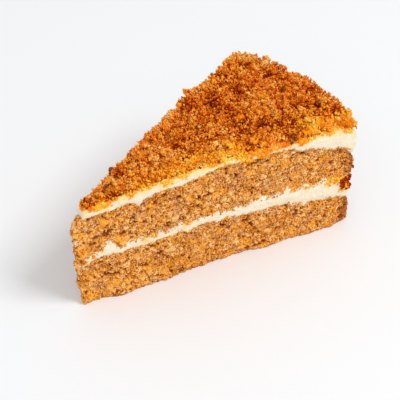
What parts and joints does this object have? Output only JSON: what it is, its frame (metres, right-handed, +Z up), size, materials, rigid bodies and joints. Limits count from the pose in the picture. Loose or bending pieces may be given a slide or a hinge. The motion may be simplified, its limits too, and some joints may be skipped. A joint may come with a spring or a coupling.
{
  "type": "slice of carrot cake",
  "caption": "Wedge slice of layered carrot cake with a cream filling, a cream top and a rough coat of golden brown crumbs.",
  "frame": {"origin": "on the flat base, on the slice's centre line, halfway between the middle of the cake and its rim", "axes": "+X from the tip to the rim along the centre line, +Z up, +Y across the slice"},
  "size_m": [0.13, 0.075, 0.0605],
  "materials": {
    "sponge": "baked carrot sponge: rough, porous, golden brown",
    "cream": "whipped cream cheese frosting: smooth, soft satin, ivory",
    "crumbs": "toasted sponge crumbs: rough, amber to brown"
  },
  "bodies": {
    "root": {"sponge_lower": "sponge", "cream_filling": "cream", "sponge_upper": "sponge", "cream_top": "cream", "crumb_topping": "crumbs"}
  },
  "joints": []
}
